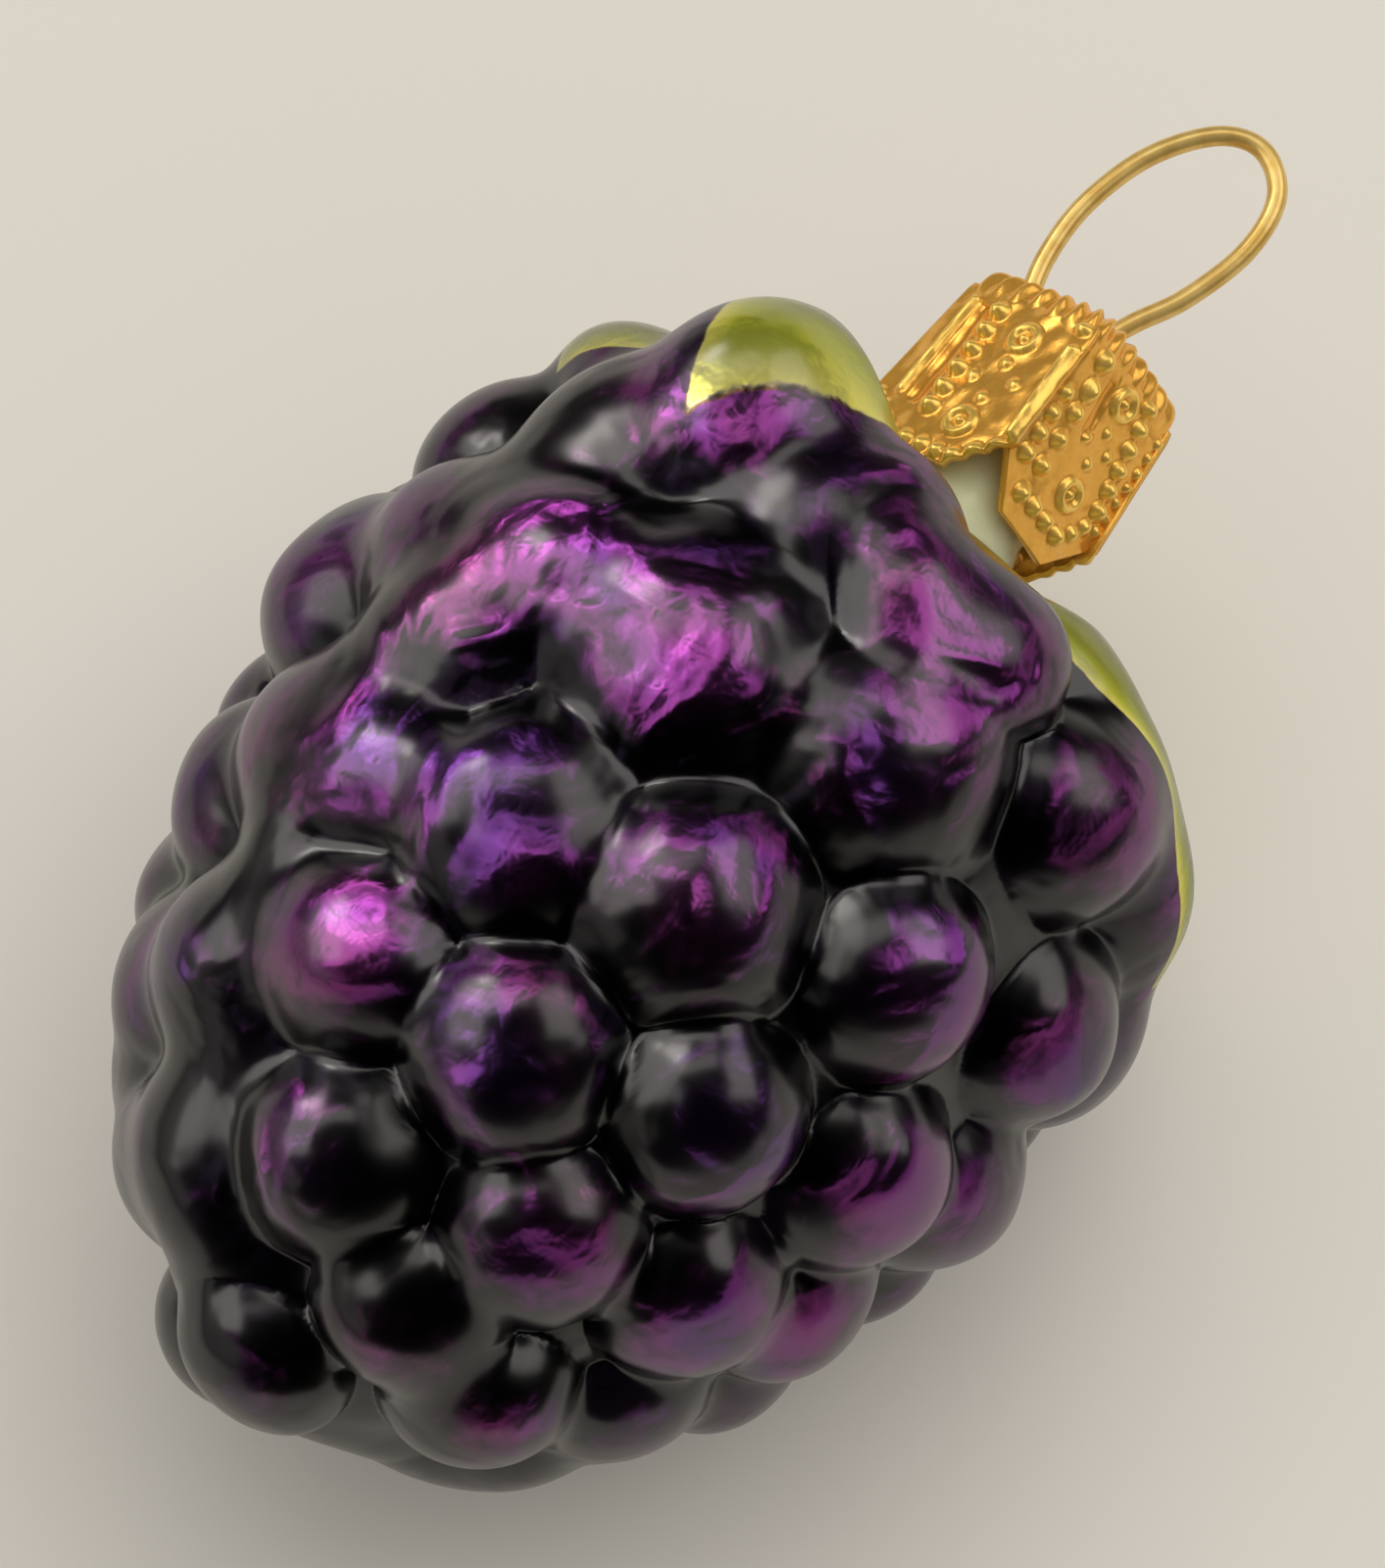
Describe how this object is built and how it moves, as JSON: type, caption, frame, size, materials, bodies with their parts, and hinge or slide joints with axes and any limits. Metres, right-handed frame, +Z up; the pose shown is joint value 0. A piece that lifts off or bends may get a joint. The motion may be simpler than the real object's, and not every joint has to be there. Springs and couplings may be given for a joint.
{
  "type": "blown glass bramble berry tree ornament",
  "caption": "Hollow blown-glass bramble berry ornament, silvered and lacquered purple with a green calyx, with a stamped gold cap and a wire loop to hang it by.",
  "frame": {"origin": "centre of the bounding box on the surface the ornament lies on", "axes": "+X along the berry towards its cap and loop, +Z up, as the ornament lies on its side"},
  "size_m": [0.0686, 0.0384, 0.0382],
  "materials": {
    "lacquered_glass": "clear blown glass, silvered inside, with purple lacquer and a green lacquered calyx outside",
    "stamped_gold_sheet": "thin sheet embossed with beads and rings, gold lacquered",
    "brass_wire": "drawn spring wire, bright, slightly dulled"
  },
  "bodies": {
    "root": {"glass_body": "lacquered_glass", "cap": "stamped_gold_sheet", "hanger": "brass_wire"}
  },
  "joints": []
}
